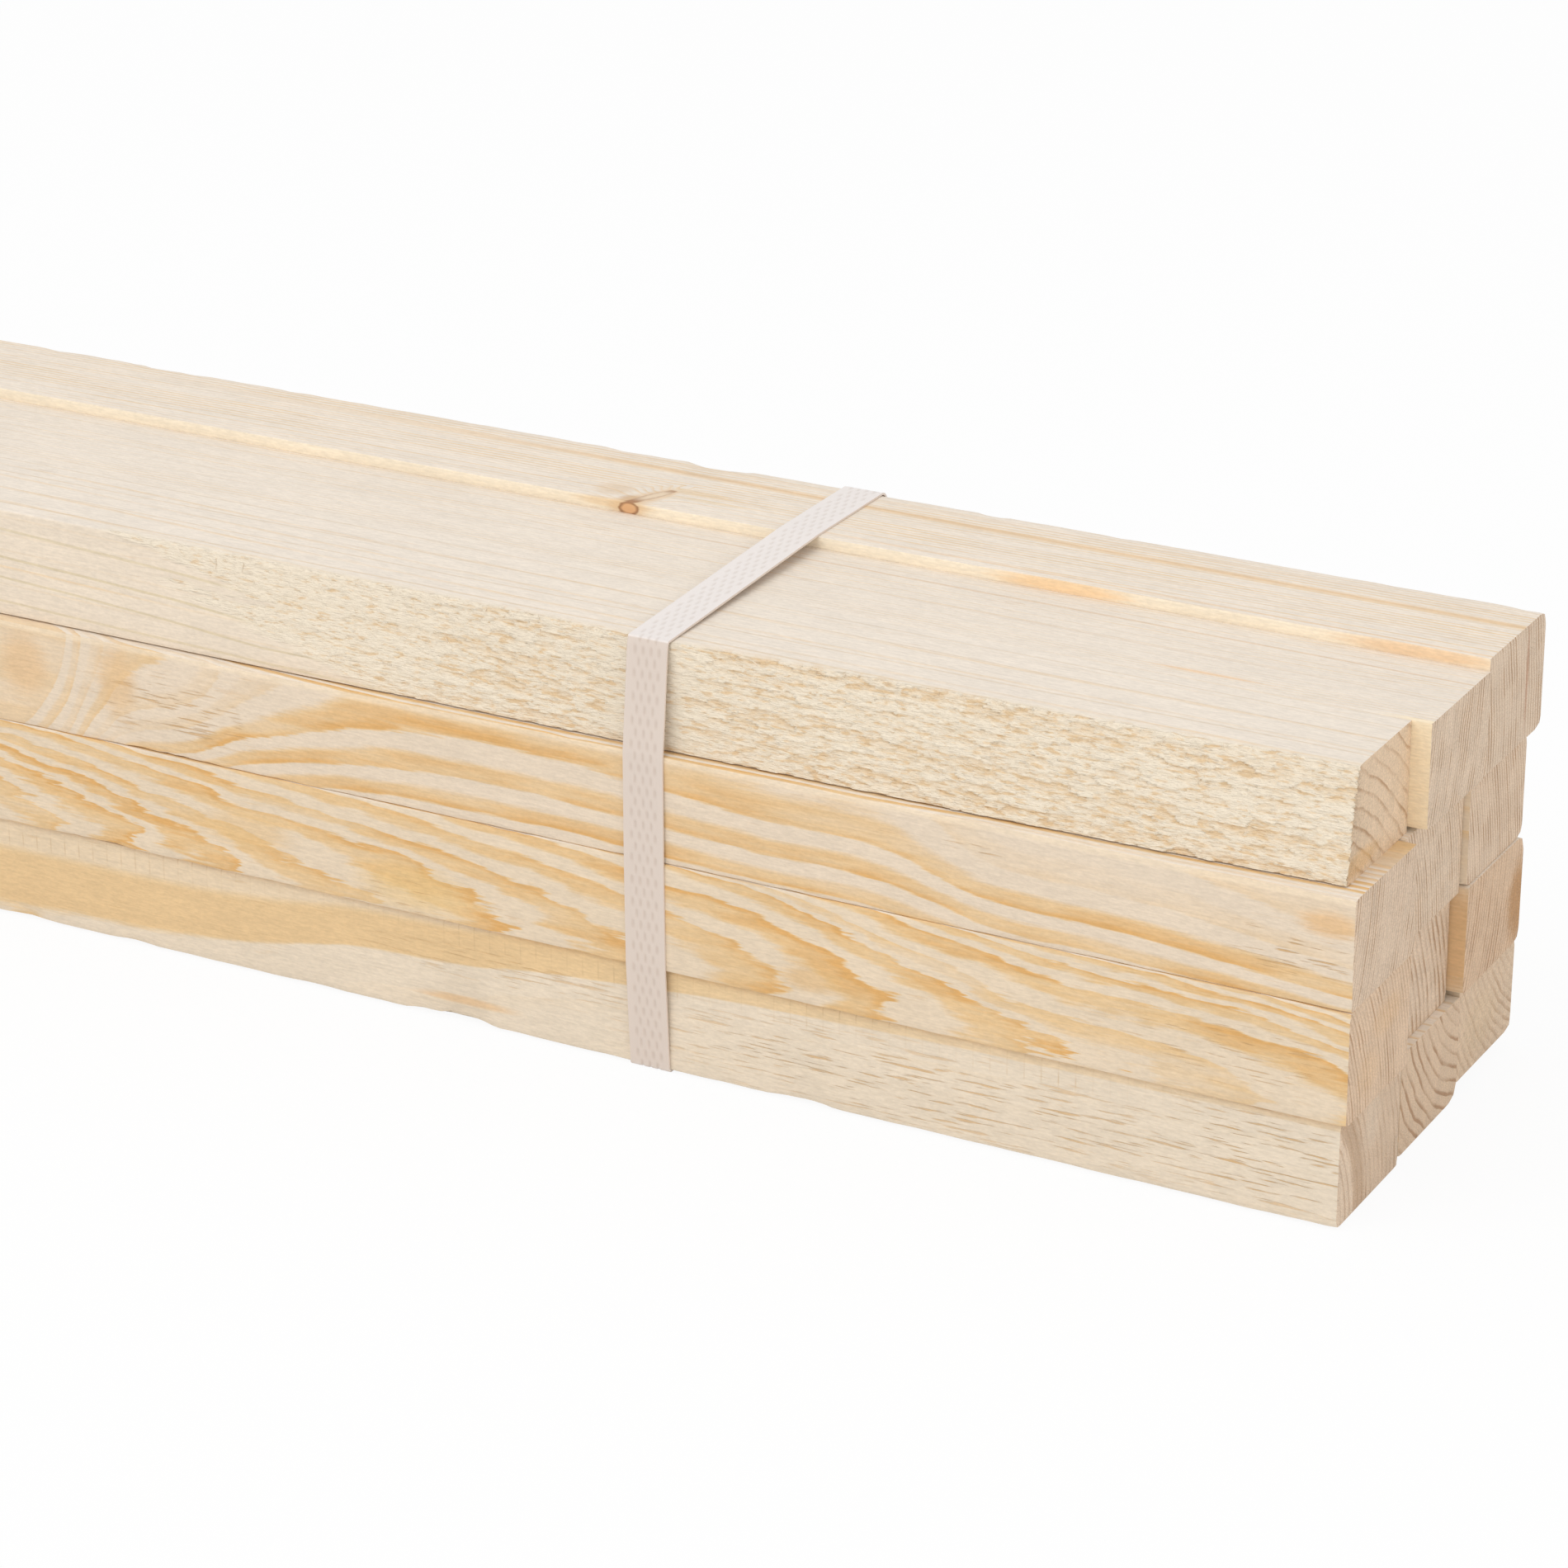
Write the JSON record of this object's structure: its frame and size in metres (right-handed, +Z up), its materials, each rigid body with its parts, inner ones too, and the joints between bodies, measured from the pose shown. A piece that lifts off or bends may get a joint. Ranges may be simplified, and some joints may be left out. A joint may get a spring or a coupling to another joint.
{
  "type": "bundle of pine studs",
  "caption": "Bundle of planed pine studs stacked in rows and columns and held together by plastic packing straps.",
  "frame": {"origin": "middle of the bundle's length and width, at the undersides of the straps it rests on", "axes": "+X along the studs towards the sawn end seen in the picture, -Y out of the front face, +Z up"},
  "size_m": [2.4076, 0.1592, 0.1576],
  "materials": {
    "pine": "planed, with one rough face",
    "strap": "embossed, milky white"
  },
  "bodies": {
    "root": {"stud_row1_col1": "pine", "stud_row1_col2": "pine", "stud_row1_col3": "pine", "stud_row2_col1": "pine", "stud_row2_col2": "pine", "stud_row2_col3": "pine", "stud_row3_col1": "pine", "stud_row3_col2": "pine", "stud_row3_col3": "pine", "stud_row4_col1": "pine", "stud_row4_col2": "pine", "stud_row4_col3": "pine", "strap_near_end": "strap", "strap_far_end": "strap"}
  },
  "joints": []
}
